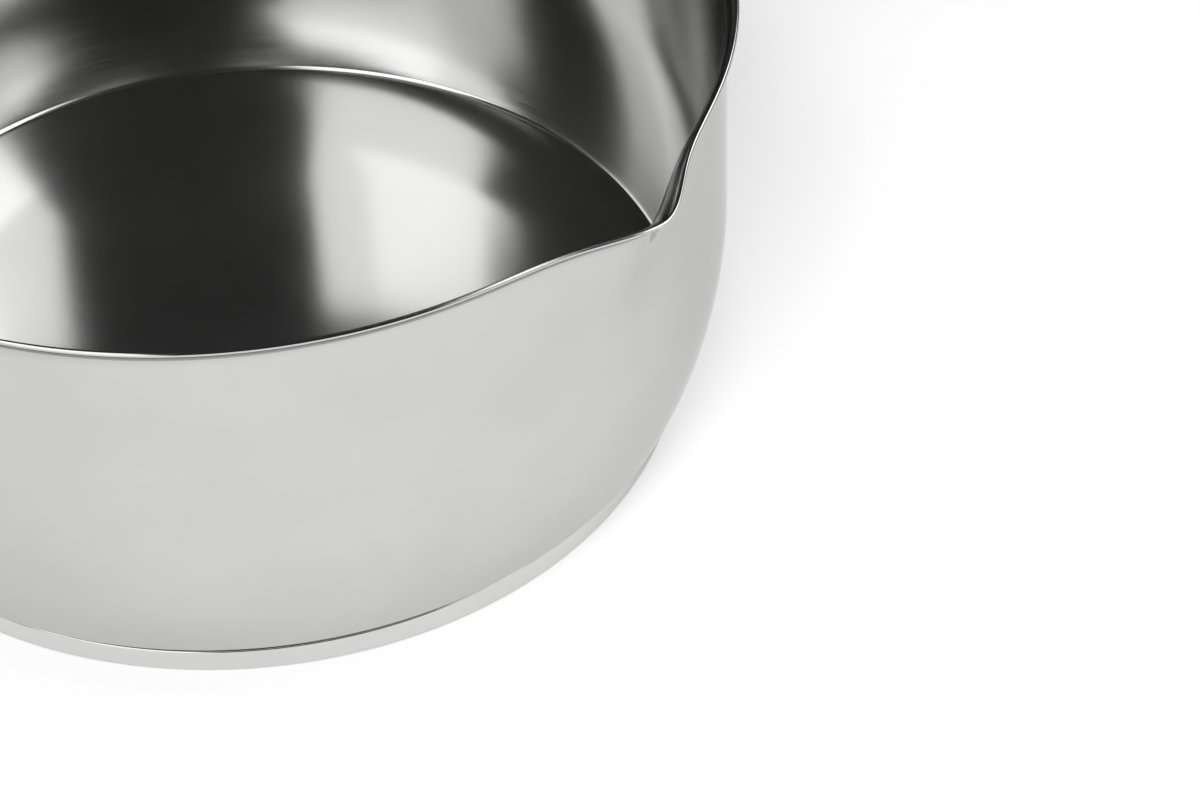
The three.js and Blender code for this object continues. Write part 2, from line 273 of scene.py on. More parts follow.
def put_piece(name, points, quads, triangles=None):
    """Makes a smooth-shaded mesh object from points in millimetres, with its faces turned outwards."""
    triangles = np.zeros((0, 3), int) if triangles is None else triangles
    split = np.concatenate([quads[:, [0, 1, 2]], quads[:, [0, 2, 3]], triangles])
    if enclosed_volume(points, split) < 0:
        quads, triangles = quads[:, ::-1], triangles[:, ::-1]
    mesh = bpy.data.meshes.new(name)
    mesh.from_pydata((points * MM).tolist(), [], quads.tolist() + triangles.tolist())
    mesh.polygons.foreach_set("use_smooth", np.ones(len(mesh.polygons), bool))
    mesh.update()
    made = bpy.data.objects.new(name, mesh)
    scene.collection.objects.link(made)
    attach(made, "root")
    volume = abs(enclosed_volume(points, split)) * 0.001
    print(name, "has", len(split), "triangles, volume in cm3:", round(volume, 2))
    return made


def turned_points(line, azimuth):
    """Points of a (radius, height) line turned about Z: radius times each azimuth's direction from -Y."""
    radius, height = line[:, :1], line[:, 1:]
    x, y = radius * np.sin(azimuth), -radius * np.cos(azimuth)
    return np.stack([x, y, np.broadcast_to(height, x.shape)], -1)


def turned_faces(rows, columns):
    """Quads between a turned shape's rings and a fan at each end, whose poles are its last two points."""
    ring = np.arange(columns)
    first, last = rows * columns, rows * columns + 1
    ends = [fan_faces(first, ring), fan_faces(last, (rows - 1) * columns + ring[::-1])]
    return grid_faces(rows, columns), np.concatenate(ends)


# %% [markdown]
# ## Bowl
# The bowl is one disc of 0.8 mm sheet, drawn in a press. Its wall is straight above, and below it leans
# in along a wide arc that ends in a tight corner at the flat floor. The rim is rolled outwards so that
# drops let go, and one place of it is pressed out further into a lip. A subdivided cylinder could be
# pushed about by hand. Here the profile is a line of radius and height, and the lip is a bell added to
# the radius.

# %% Bowl sizes in millimetres
bore, sheet, pan_height = 160.0, 0.8, 74.3
wall_radius = bore / 2 + sheet
floor_z, corner_radius = 6.1, 2.0
belly_radius, belly_top = 74.0, 36.5
belly_axis = wall_radius - belly_radius
corner_z = floor_z + corner_radius
belly_lean = math.asin((belly_top - corner_z) / (belly_radius - corner_radius))
flat_radius = belly_axis + (belly_radius - corner_radius) * math.cos(belly_lean)
rim_flare, rim_angle = 2.1, 0.9
rim_radius = rim_flare / (1 - math.cos(rim_angle))
rim_start = pan_height - (rim_radius + sheet) * math.sin(rim_angle)
lip_reach, lip_spread, lip_sharpness, lip_depth = 7.2, 7.6, 1.7, 30.0
corner_steps, belly_steps, wall_steps, rim_steps, floor_steps = 15, 31, 13, 12, 13
print("rim rolls out from", round(rim_start, 2), "mm on a radius of", round(rim_radius, 2), "mm")


# %% Bowl profile
def arc_line(centre, radius, first, last, count):
    """Points of an arc about a centre, with angles from the radius axis towards the height axis."""
    angle = np.linspace(first, last, count)
    return np.array(centre) + radius * np.stack([np.cos(angle), np.sin(angle)], 1)


def bowl_side(inset, edge_turn):
    """Radius and height from the floor's flat to the rim, moved inwards by an inset: a tight corner, the
    wide arc of the belly, a straight wall, and an outward arc that stops at edge_turn."""
    corner_centre = (flat_radius, corner_z)
    corner = arc_line(corner_centre, corner_radius - inset, -np.pi / 2, -belly_lean, corner_steps + 1)
    belly_centre = (belly_axis, belly_top)
    belly = arc_line(belly_centre, belly_radius - inset, -belly_lean, 0, belly_steps + 1)[1:]
    heights = np.linspace(belly_top, rim_start, wall_steps + 1)[1:]
    wall = np.stack([np.full_like(heights, wall_radius - inset), heights], 1)
    rim_centre = (wall_radius + rim_radius, rim_start)
    roll_out = arc_line(rim_centre, rim_radius + inset, np.pi, np.pi - edge_turn, rim_steps + 1)[1:]
    return np.concatenate([corner, belly, wall, roll_out])


def sheet_edge(edge_turn):
    """Half circle round the sheet's edge, from the outer face to the inner one."""
    middle = rim_radius + sheet / 2
    radial = np.array([-math.cos(edge_turn), math.sin(edge_turn)])
    onward = np.array([math.sin(edge_turn), math.cos(edge_turn)])
    round_turn = np.linspace(0, np.pi, 11)[1:-1, None]
    centre = np.array([wall_radius + rim_radius, rim_start]) + middle * radial
    return centre + sheet / 2 * (-radial * np.cos(round_turn) + onward * np.sin(round_turn))


def floor_rings(height):
    """Flat floor from near the centre to the curve."""
    radii = np.linspace(0, flat_radius, floor_steps + 1)[1:-1]
    return np.stack([radii, np.full_like(radii, height)], 1)


edge_turn = rim_angle - sheet / 2 / (rim_radius + sheet / 2)
outer_line = np.concatenate([floor_rings(floor_z), bowl_side(0, edge_turn)])
inner_line = np.concatenate([floor_rings(floor_z + sheet), bowl_side(sheet, edge_turn)])
edge_line = sheet_edge(edge_turn)
bowl_line = np.concatenate([outer_line, edge_line, inner_line[::-1]])
print("bowl profile has", len(bowl_line), "points, top at", round(bowl_line[:, 1].max(), 2), "mm")

# %% Bowl skin with its lip
bowl_columns = 448
lip_crowding = 0.55
even = np.linspace(-np.pi, np.pi, bowl_columns, endpoint=False)
bowl_azimuth = even - lip_crowding * np.sin(even)


def pressed_out(points, azimuth):
    """Moves each point away from the axis by the lip's reach, times the square of its rise above the lip's
    root, times a bell of its distance along the rim."""
    rise = np.clip(1 - (pan_height - points[..., 2]) / lip_depth, 0, None) ** 2
    along = np.abs(azimuth) * (wall_radius + rim_flare) / lip_spread
    push = lip_reach * rise * np.exp(-0.5 * along**lip_sharpness)
    outward = np.stack([np.sin(azimuth), -np.cos(azimuth), 0 * azimuth], -1)
    return points + push[..., None] * outward


bowl_points = pressed_out(turned_points(bowl_line, bowl_azimuth), bowl_azimuth)
bowl_poles = np.array([(0, 0, floor_z), (0, 0, floor_z + sheet)])
bowl_quads, bowl_fans = turned_faces(len(bowl_line), bowl_columns)
bowl_points = np.concatenate([bowl_points.reshape(-1, 3), bowl_poles])
bowl = put_piece("bowl_skin", bowl_points, bowl_quads, bowl_fans)
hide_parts("pan_body")

# %% [markdown]
# ## Base
# Under the bowl sits a pressed steel cap that holds an aluminium disc, so that heat spreads over the
# whole floor. The cap's edge ends just below the bowl's curve and leaves a fine dark groove, the only
# line on the outside. Its underside is turned on a lathe and slightly hollow, so that it lies flat when
# it is hot.

# %% Base cap
cap_radius, cap_sheet, cap_edge, cap_top = 72.5, 0.6, 1.0, 4.4
cap_round, cap_hollow = 0.28, 0.12
turned_band, band_step, band_rise = 66.0, 0.4, 0.25
cap_steps, cap_edge_steps = 8, 14

under = np.linspace(0, turned_band, 12)[1:]
hollow = cap_hollow * (1 - (under / turned_band) ** 4)
edge_centre = (cap_radius - cap_edge, cap_edge)
outer_round = (cap_radius - cap_round, cap_top - cap_round)
inner_round = (cap_radius - cap_sheet + cap_round, cap_top - cap_round)
cap_line = np.concatenate(
    [
        np.stack([under, hollow], 1),
        [(turned_band + band_step, band_rise), (turned_band + 2 * band_step, band_rise)],
        [(turned_band + 3 * band_step, 0.0)],
        arc_line(edge_centre, cap_edge, -np.pi / 2, 0, cap_edge_steps),
        arc_line(outer_round, cap_round, 0, np.pi / 2, cap_steps),
        arc_line(inner_round, cap_round, np.pi / 2, np.pi, cap_steps),
        arc_line(edge_centre, cap_edge - cap_sheet, 0, -np.pi / 2, cap_steps),
        [(turned_band, cap_sheet), (turned_band / 2, cap_sheet)],
    ]
)
cap_columns = 320
cap_azimuth = np.linspace(-np.pi, np.pi, cap_columns, endpoint=False)
cap_points = turned_points(cap_line, cap_azimuth).reshape(-1, 3)
cap_poles = np.array([(0, 0, cap_hollow), (0, 0, cap_sheet)])
cap_quads, cap_fans = turned_faces(len(cap_line), cap_columns)
cap = put_piece("base_cap_skin", np.concatenate([cap_points, cap_poles]), cap_quads, cap_fans)
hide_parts("base_cap")

# %% [markdown]
# ## Handle
# The handle stands at a right angle to the lip, so that a right-handed cook can pour over it. It rises a
# little away from the wall. All of its pieces are drawn in the handle's own frame, x along it and z out
# of its top, and one function tilts them into place. Oval sections have a power in their formula that
# squares them up.


# %% Handle frame and oval sections
handle_tilt = 0.21
handle_foot = np.array([wall_radius, 0, 51.826])
oval_power = 0.8


def on_handle(points):
    """Turns points about Y by the handle's tilt and moves them to its foot on the wall."""
    c, s = math.cos(handle_tilt), math.sin(handle_tilt)
    return points @ np.array([[c, 0, s], [0, 1, 0], [-s, 0, c]]) + handle_foot


def oval(angle, width, height):
    """Half the width times a signed power of the cosine, and half the height times that of the sine."""
    c, s = np.cos(angle), np.sin(angle)
    y = width / 2 * np.sign(c) * np.abs(c) ** oval_power
    z = height / 2 * np.sign(s) * np.abs(s) ** oval_power
    return y, z


def depth_on_drum(y, z, radius):
    """Distance along the handle at which a line through (y, z) meets an upright drum on the bowl's axis."""
    outside = np.sqrt(radius**2 - y**2) - wall_radius
    return (outside + z * math.sin(handle_tilt)) / math.cos(handle_tilt)


print("handle tip direction:", np.round(on_handle(np.array([[1.0, 0, 0]])) - handle_foot, 3))

# %% [markdown]
# ## Bracket
# A pressed plate lies on the wall like a saddle and carries the handle on a short square tube. Its ears
# are spot-welded to the wall, so nothing shows inside the bowl, and the electrodes leave a round dent in
# each. The outline is the hull of three discs: the disc that reaches furthest in a direction gives the
# edge. Polar rings run from the middle of the inner face round the edge to the middle of the outer face.

# %% Saddle and stub
saddle_inner, saddle_outer = 81.1, 83.1
saddle_radius, ear_radius, weld_pitch = 14.0, 8.0, 34.0
saddle_edge = 0.7
weld_radius, weld_dent = 2.5, 0.3
saddle_columns = 160

around = np.linspace(0, 2 * np.pi, saddle_columns, endpoint=False)
slide = np.linspace(0, 1, 80)[:, None]
disc_centre = weld_pitch / 2 * slide
disc_radius = saddle_radius + (ear_radius - saddle_radius) * slide
beside = disc_centre * np.abs(np.sin(around))
reach = disc_centre * np.abs(np.cos(around)) + np.sqrt(np.clip(disc_radius**2 - beside**2, 0, None))
outline = np.where(disc_radius > beside, reach, 0).max(axis=0)

quarter = np.linspace(0, np.pi / 2, 6)
face_shares = np.linspace(0, 1, 40)[1:]
edge_in = saddle_edge * np.concatenate([1 - np.sin(quarter), 1 - np.cos(quarter)])
edge_drum = np.concatenate(
    [saddle_inner + saddle_edge * (1 - np.cos(quarter)), saddle_outer - saddle_edge * (1 - np.sin(quarter))]
)
face = face_shares[:-1, None] * (outline - saddle_edge)
reaches = np.concatenate([face, outline - edge_in[:, None], face[::-1]])
inner_drum, outer_drum = (np.full(len(face), drum) for drum in (saddle_inner, saddle_outer))
drums = np.concatenate([inner_drum, edge_drum, outer_drum])[:, None]
y, z = reaches * np.cos(around), reaches * np.sin(around)


def weld_dents(y, z):
    """Depth of the round dents: a step that falls smoothly over the outer third of the weld's radius."""
    from_weld = np.hypot(np.abs(y) - weld_pitch / 2, z) / weld_radius
    share = np.clip((1 - from_weld) * 3, 0, 1)
    return weld_dent * share**2 * (3 - 2 * share)


outer_face = np.arange(len(drums))[:, None] >= len(face) + len(edge_drum)
skin = drums - np.where(outer_face, weld_dents(y, z), 0)
saddle_points = np.stack([np.sqrt(skin**2 - y**2), y, z + handle_foot[2]], -1)
saddle_poles = np.array([(saddle_inner, 0, handle_foot[2]), (saddle_outer, 0, handle_foot[2])])
saddle_quads, saddle_fans = turned_faces(len(drums), saddle_columns)


def squared(angle, side, power):
    """Ring whose points have one p-norm: power 2 is a circle, a high power a square with soft corners."""
    c, s = np.cos(angle), np.sin(angle)
    size = side / 2 / (np.abs(c) ** power + np.abs(s) ** power) ** (1 / power)
    return size * c, size * s


stub_side, pocket_side, stub_end, pocket_floor = 11.0, 7.8, 24.3, 21.9
screw_hole, stub_root, stub_round = 4.8, 8.0, 0.5
square, circle = 9, 2
stub_rows = np.array(
    [
        (0.0, stub_side, square),
        (stub_root, stub_side, square),
        (stub_end - stub_round, stub_side, square),
        (stub_end - 0.3 * stub_round, stub_side - 0.6 * stub_round, square),
        (stub_end, stub_side - 2 * stub_round, square),
        (stub_end, screw_hole, circle),
        (pocket_floor, screw_hole, circle),
        (pocket_floor, pocket_side, square),
        (0.0, pocket_side, square),
    ]
)[:, :, None]
stub_columns = 72
stub_around = np.linspace(0, 2 * np.pi, stub_columns, endpoint=False)
y, z = squared(stub_around, stub_rows[:, 1], stub_rows[:, 2])
foot = depth_on_drum(y, z, (saddle_inner + saddle_outer) / 2)
stub_points = np.stack([np.maximum(stub_rows[:, 0], foot), y, z], -1)

bracket_points = np.concatenate(
    [saddle_points.reshape(-1, 3), saddle_poles, on_handle(stub_points.reshape(-1, 3))]
)
stub_quads = grid_faces(len(stub_rows), stub_columns, closed_rows=True, start=saddle_points.size // 3 + 2)
bracket_quads = np.concatenate([saddle_quads, stub_quads])
bracket = put_piece("bracket_plate", bracket_points, bracket_quads, saddle_fans)
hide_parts("handle_bracket")

# %% [markdown]
# ## Flame guard
# A thin steel sleeve hides the stub and keeps the flame off the grip. Its front edge follows the wall, so
# each point of it starts where its own line meets the drum of the wall. The grid is closed both ways, out
# along the outer face, round the sheet's edge, back along the inner face and round the other edge.

# %% Flame guard
guard_length, guard_sheet, guard_widen = 20.0, 0.8, 1.4
guard_width, guard_height = 20.0, 17.0
guard_drum = 83.4
guard_columns = 160

half_turn = np.linspace(0, np.pi, 9)[1:-1]
half_sheet = guard_sheet / 2
bulge, across = half_sheet * np.sin(half_turn), half_sheet * np.cos(half_turn)
runs = np.linspace(0, 1, 18)
guard_rows = np.concatenate(
    [
        np.stack([runs, 0 * runs, 0 * runs], 1),
        np.stack([half_turn**0, bulge, half_sheet - across], 1),
        np.stack([runs[::-1], 0 * runs, 0 * runs + guard_sheet], 1),
        np.stack([0 * half_turn, -bulge, half_sheet + across], 1),
    ]
)
share, nudge, inset = (guard_rows[:, k, None] for k in range(3))
guard_around = np.linspace(0, 2 * np.pi, guard_columns, endpoint=False)
along = guard_length * share
# Where a line starts depends on its section, and the section on where it is: a few rounds settle both
for settling in range(4):
    grow = 2 * guard_widen * np.clip(along / guard_length, 0, 1) - 2 * inset
    y, z = oval(guard_around, guard_width + grow, guard_height + grow)
    start = depth_on_drum(y, z, guard_drum) + half_sheet
    along = start + share * (guard_length - half_sheet - start) + nudge
guard_points = on_handle(np.stack([along, y, z], -1).reshape(-1, 3))
guard_quads = grid_faces(len(guard_rows), guard_columns, closed_rows=True)
guard = put_piece("flame_guard_sleeve", guard_points, guard_quads)
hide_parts("flame_guard")

# %% [markdown]
# ## Grip
# The grip is moulded from black phenolic, which stays hard when hot. Its sections are ovals whose width
# and height follow one smooth curve each, and the end closes like a nose. The hanging slot could be cut
# with a Boolean, but that leaves a hard edge. Instead a block of the grid is left out, rings run from the
# block's border to the slot, and a rounded edge leads down its wall. Points in the same place are then
# welded.

# %% Grip sizes and surface
grip_start, grip_end, grip_nose, grip_edge = 20.3, 170.3, 13.0, 1.0
grip_widths = np.array([22.8, 25.0, 27.0, 27.0])
grip_heights = np.array([19.8, 21.0, 17.0, 17.0])
grip_end_side = 12.4
nose_start = grip_end - grip_nose
body_start = grip_start + grip_edge


def smooth_run(sizes, share):
    """Catmull-Rom curve through evenly spaced sizes: a cubic whose slopes are half the step between
    neighbours."""
    step = share * (len(sizes) - 1)
    k = np.clip(np.floor(step).astype(int), 0, len(sizes) - 2)
    t = step - k
    before, a, b, after = (sizes[np.clip(k + d, 0, len(sizes) - 1)] for d in (-1, 0, 1, 2))
    slope_a, slope_b = (b - before) / 2, (after - a) / 2
    third = 2 * a - 2 * b + slope_a + slope_b
    second = -3 * a + 3 * b - 2 * slope_a - slope_b
    return ((third * t + second) * t + slope_a) * t + a


def grip_size(x, sizes):
    """Width or height at x: rounded front edge, smooth run, then a quarter ellipse down to the end face."""
    share = np.clip((x - body_start) / (nose_start - body_start), 0, 1)
    size = smooth_run(sizes, share)
    front = np.clip((body_start - x) / grip_edge, 0, 1)
    size = size - 2 * grip_edge * (1 - np.sqrt(1 - front**2))
    into_nose = np.clip((x - nose_start) / grip_nose, 0, 1)
    nose = grip_end_side + (size - grip_end_side) * np.sqrt(1 - into_nose**2)
    return np.where(x > nose_start, nose, size)


def grip_top(x, y):
    """Height of the oval above the plan point (x, y), from the oval's formula with both powers inverted."""
    side = np.abs(y) / (grip_size(x, grip_widths) / 2)
    return grip_size(x, grip_heights) / 2 * (1 - side ** (2 / oval_power)) ** (oval_power / 2)


# %% Grip grid and its slot
grip_columns = 96
slot_radius, slot_front_centre, slot_rear_centre, slot_round = 5.0, 131.3, 153.3, 0.8
front_rows = body_start - grip_edge * np.cos(np.linspace(0, np.pi / 2, 6)[:-1])
body_rows = np.linspace(body_start, nose_start, 64)
nose_rows = nose_start + grip_nose * np.sin(np.linspace(0, np.pi / 2, 18)[1:])
grip_x = np.concatenate([front_rows, body_rows, nose_rows])
grip_around = np.linspace(0, 2 * np.pi, grip_columns, endpoint=False)
width, height = (grip_size(grip_x, sizes)[:, None] for sizes in (grip_widths, grip_heights))
y, z = oval(grip_around, width, height)
grip_points = np.stack([np.broadcast_to(grip_x[:, None], y.shape), y, z], -1)

# The block left out of the top and of the bottom, and the loop of plan points round it
block_front, block_rear, block_first, block_last = 119.0, 163.5, 14, 34
first_row, last_row = np.searchsorted(grip_x, [block_front, block_rear])
block_columns = np.arange(block_first, block_last + 1)
loop = np.concatenate(
    [
        grip_points[first_row, block_columns[:-1], :2],
        grip_points[first_row:last_row, block_columns[-1], :2],
        grip_points[last_row, block_columns[:0:-1], :2],
        grip_points[last_row:first_row:-1, block_columns[0], :2],
    ]
)
cells = np.ones((len(grip_x) - 1, grip_columns), bool)
cells[first_row:last_row, block_columns[:-1]] = False
cells[first_row:last_row, block_columns[:-1] + grip_columns // 2] = False
shell_quads = grid_faces(len(grip_x), grip_columns)[cells.ravel()]

# Rings from the loop to the slot's rounded edge, down its wall and out again below
nearest = np.stack([np.clip(loop[:, 0], slot_front_centre, slot_rear_centre), 0 * loop[:, 1]], 1)
outward = loop - nearest
outward /= np.linalg.norm(outward, axis=1, keepdims=True)
slot_border = nearest + (slot_radius + slot_round) * outward
ring_share = np.linspace(0, 1, 8)[:, None, None]
ring_plan = loop + ring_share * (slot_border - loop)
ring_height = grip_top(ring_plan[..., 0], ring_plan[..., 1])
round_turn = np.linspace(0, np.pi / 2, 8)[1:, None, None]
round_plan = nearest + (slot_radius + slot_round * (1 - np.sin(round_turn))) * outward
round_drop = slot_round * (1 - np.cos(round_turn[..., 0]))
round_height = grip_top(round_plan[..., 0], round_plan[..., 1]) - round_drop
upper = np.concatenate([np.dstack([ring_plan, ring_height]), np.dstack([round_plan, round_height])])
lower = upper[::-1] * (1, 1, -1)
wall_share = np.linspace(0, 1, 8)[1:-1, None, None]
wall_rows = upper[-1] + wall_share * (lower[0] - upper[-1])
slot_points = np.concatenate([upper, wall_rows, lower])
slot_quads = grid_faces(len(slot_points), len(loop), start=grip_points.size // 3)[:, ::-1]


def welded(points, *face_sets):
    """Points that fall on the same ten-thousandth of a millimetre become one, and the faces follow."""
    _, first, same = np.unique(np.round(points, 4), axis=0, return_index=True, return_inverse=True)
    return points[first], *(same.ravel()[faces] for faces in face_sets)


ends = np.array([(grip_start, 0, 0), (grip_end, 0, 0)])
all_points = np.concatenate([grip_points.reshape(-1, 3), slot_points.reshape(-1, 3), ends])
front_ring = np.arange(grip_columns)
front_fan = fan_faces(len(all_points) - 2, front_ring)
rear_fan = fan_faces(len(all_points) - 1, (len(grip_x) - 1) * grip_columns + front_ring[::-1])
all_quads, all_fans = np.concatenate([shell_quads, slot_quads]), np.concatenate([front_fan, rear_fan])
grip_points, *grip_faces = welded(all_points, all_quads, all_fans)
grip = put_piece("grip_moulding", on_handle(grip_points), *grip_faces)
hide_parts("handle_grip")

# %% [markdown]
# ## Bores
# The screw goes in through the grip's end, across the slot, and pulls the grip on to the stub. These
# straight bores have crisp edges, so here a Boolean is the right tool: the cutter is a stack of rings, a
# square socket first and circles after it, and its result is kept as a plain mesh with hard edges marked
# by their angle.

# %% Bores of the grip
head_seat, head_bore, socket_floor, socket_side = 120.3, 8.8, 24.6, 11.8
bore_start, socket_square = 10.0, 12
mouth_bevel, mouth_widen, mouth_clear = 0.5, 2.0, 2.0
bore_sharp = 35


def cut_away(piece, points, quads, triangles, sharp_degrees):
    """Subtracts a closed grid from a piece, and marks edges that turn by more than an angle as sharp."""
    cutter = put_piece("cutter", points, quads, triangles)
    cut = piece.modifiers.new("cut", "BOOLEAN")
    cut.operation = "DIFFERENCE"
    cut.solver = "EXACT"
    cut.object = cutter
    shaped = piece.evaluated_get(bpy.context.evaluated_depsgraph_get())
    kept = bpy.data.meshes.new_from_object(shaped)
    piece.modifiers.clear()
    kept.name = piece.name
    piece.data = kept
    kept.set_sharp_from_angle(angle=math.radians(sharp_degrees))
    bpy.data.objects.remove(cutter)
    print(piece.name, "has", len(kept.polygons), "faces after the cut")


bore_rows = np.array(
    [
        (bore_start, socket_side, socket_square),
        (socket_floor, socket_side, socket_square),
        (socket_floor, screw_hole, circle),
        (head_seat, screw_hole, circle),
        (head_seat, head_bore, circle),
        (grip_end - mouth_bevel, head_bore, circle),
        (grip_end + mouth_bevel, head_bore + mouth_widen, circle),
        (grip_end + mouth_clear, head_bore + mouth_widen, circle),
    ]
)[:, :, None]
bore_columns = 64
bore_around = np.linspace(0, 2 * np.pi, bore_columns, endpoint=False)
y, z = squared(bore_around, bore_rows[:, 1], bore_rows[:, 2])
bore_points = np.stack([np.broadcast_to(bore_rows[:, 0], y.shape), y, z], -1)
bore_ends = np.array([(bore_rows[0, 0, 0], 0, 0), (bore_rows[-1, 0, 0], 0, 0)])
cut_away(
    grip,
    on_handle(np.concatenate([bore_points.reshape(-1, 3), bore_ends])),
    *turned_faces(len(bore_rows), bore_columns),
    bore_sharp,
)

# %% [markdown]
# ## Screw and washer
# A long machine screw with a slotted cheese head sits in the bore, and a washer spreads its pull on the
# plastic. Only the head can be seen, down in the hanging slot. Both are turned lines laid along the
# handle, and the driver's slot is one small bar cut across the head.

# %% Washer and screw
washer_round = 0.15
washer_inner, washer_outer, washer_front, washer_rear = 2.3, 4.0, 120.6, 121.5
screw_tip, screw_seat, screw_end = 16.4, 121.8, 124.6
screw_radius, screw_head_radius = 2.0, 3.5
tip_bevel, seat_bevel, head_round = 0.6, 0.15, 0.5
driver_width, driver_depth, driver_above, driver_sharp = 1.0, 1.3, 1.0, 30


def along_handle(line, columns):
    """A line of (radius, x) turned about the handle's own axis."""
    angle = np.linspace(0, 2 * np.pi, columns, endpoint=False)
    radius, x = line[:, :1], np.broadcast_to(line[:, 1:], (len(line), columns))
    return np.stack([x, radius * np.cos(angle), radius * np.sin(angle)], -1).reshape(-1, 3)


washer_columns = 64
corner_turns = np.arange(4)[:, None] * np.pi / 2 + np.linspace(0, np.pi / 2, 4)
washer_corners = np.array(
    [
        (washer_outer, washer_rear),
        (washer_inner, washer_rear),
        (washer_inner, washer_front),
        (washer_outer, washer_front),
    ]
)[:, None, :]
inward = washer_round * np.array([(-1, -1), (1, -1), (1, 1), (-1, 1)])[:, None, :]
corner_arc = washer_round * np.stack([np.cos(corner_turns), np.sin(corner_turns)], -1)
washer_line = (washer_corners + inward + corner_arc).reshape(-1, 2)
washer_quads = grid_faces(len(washer_line), washer_columns, closed_rows=True)
washer = put_piece("washer_ring", on_handle(along_handle(washer_line, washer_columns)), washer_quads)

screw_columns = 48
screw_line = np.concatenate(
    [
        [(screw_radius - tip_bevel, screw_tip), (screw_radius, screw_tip + tip_bevel)],
        [(screw_radius, screw_seat)],
        [(screw_head_radius - seat_bevel, screw_seat), (screw_head_radius, screw_seat + seat_bevel)],
        arc_line((screw_head_radius - head_round, screw_end - head_round), head_round, 0, np.pi / 2, 7),
    ]
)
screw_ends = np.array([(screw_tip, 0, 0), (screw_end, 0, 0)])
screw = put_piece(
    "screw_shaft",
    on_handle(np.concatenate([along_handle(screw_line, screw_columns), screw_ends])),
    *turned_faces(len(screw_line), screw_columns),
)
bar_reach = 2 * screw_head_radius
bar_low, bar_high = screw_end - driver_depth, screw_end + driver_above
bar_depth = np.array([bar_low, bar_high, bar_high, bar_low])
bar_side = np.array([-1, -1, 1, 1]) * driver_width / 2
bar_ends = np.array([-1, 1])[:, None] * bar_reach
bar_points = np.stack(np.broadcast_arrays(bar_depth, bar_ends, bar_side), -1).reshape(-1, 3)
bar_poles = [(screw_end, -bar_reach, 0), (screw_end, bar_reach, 0)]
bar_points = np.concatenate([bar_points, bar_poles])
cut_away(screw, on_handle(bar_points), *turned_faces(2, 4), driver_sharp)
for made, node in ((washer, "screw_washer"), (screw, "handle_screw")):
    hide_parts(node)

# %% [markdown]
# ## Steel finishes
# Stainless steel is grey by itself and mirrors about six tenths of the light. The outside of this bowl is
# buffed to a mirror: the white paper shows in it as one even grey, with faint clouds where the buff
# dwelt. The inside is finished while the bowl spins, which leaves fine rings and a softer mirror. All
# finishes share one network, because only the marks of the last tool differ: rings from turning, strokes
# from a belt, grains from plating. Marks finer than a pixel are drawn coarser here, or they would only
# show as noise.


# %% Marks that tools leave
def rings(tree, pitch):
    """Noise of the distance from Z and of the height, so that its lines run round the bowl."""
    place = add(tree, "ShaderNodeTexCoord").outputs["Object"]
    parts = add(tree, "ShaderNodeSeparateXYZ", {0: place})
    level = add(tree, "ShaderNodeCombineXYZ", {0: parts.outputs[0], 1: parts.outputs[1]})
    radius = add(tree, "ShaderNodeVectorMath", {0: level.outputs[0]}, operation="LENGTH")
    lines = add(tree, "ShaderNodeCombineXYZ", {0: radius.outputs["Value"], 1: parts.outputs[2]})
    inputs = {"Vector": lines.outputs[0], "Scale": 1 / (pitch * MM), "Detail": 3.0, "Roughness": 0.6}
    return add(tree, "ShaderNodeTexNoise", inputs, noise_dimensions="2D").outputs["Fac"]


def strokes(tree, pitch, tilt, stretch):
    """Noise turned about Y by a tilt and drawn out along the axes whose stretch is small."""
    place = add(tree, "ShaderNodeTexCoord").outputs["Object"]
    turned = add(tree, "ShaderNodeMapping", {"Vector": place, "Rotation": (0, tilt, 0), "Scale": stretch})
    inputs = {"Vector": turned.outputs[0], "Scale": 1 / (pitch * MM), "Detail": 3.0, "Roughness": 0.6}
    return add(tree, "ShaderNodeTexNoise", inputs).outputs["Fac"]


# %% Metal network
# At a grazing angle steel mirrors hardly more than straight on: this tint takes the usual bright rim away
edge_tint = linear("#E0E0DF")
# Noise stays near its middle, so these limits stretch that part: one noise, and the sum of two
noise_low, noise_high = 0.3, 0.7
haze_low, haze_high = 0.7, 1.3


def metal(name, colours, roughness, cloud_size, marks, mark_height):
    """Metal with clouds in its colour and roughness, each given as a pair of limits, and with a bump from
    the marks of a tool. Cloud size and mark height are in millimetres."""
    material = empty_material(name)
    tree = material.node_tree
    place = add(tree, "ShaderNodeTexCoord").outputs["Object"]
    cloud_inputs = {"Vector": place, "Scale": 1 / (cloud_size * MM), "Detail": 4.0, "Roughness": 0.55}
    clouds = add(tree, "ShaderNodeTexNoise", cloud_inputs).outputs["Fac"]
    lines = marks(tree)
    haze = add(tree, "ShaderNodeMath", {0: clouds, 1: lines}, operation="ADD").outputs[0]
    limits = {"From Min": haze_low, "From Max": haze_high, "To Min": roughness[0], "To Max": roughness[1]}
    rough = add(tree, "ShaderNodeMapRange", {"Value": haze, **limits}).outputs["Result"]
    patch_inputs = {"Value": clouds, "From Min": noise_low, "From Max": noise_high}
    patches = add(tree, "ShaderNodeMapRange", patch_inputs)
    colour = add(
        tree,
        "ShaderNodeMix",
        {"Factor": patches.outputs["Result"], "A": linear(colours[0]), "B": linear(colours[1])},
        data_type="RGBA",
    )
    bump = add(tree, "ShaderNodeBump", {"Height": lines, "Strength": 1.0, "Distance": mark_height * MM})
    shader = add(
        tree,
        "ShaderNodeBsdfPrincipled",
        {
            "Base Color": colour.outputs["Result"],
            "Metallic": 1.0,
            "Specular Tint": edge_tint,
            "Roughness": rough,
            "Normal": bump.outputs["Normal"],
        },
    )
    add(tree, "ShaderNodeOutputMaterial", {"Surface": shader.outputs[0]})
    return material


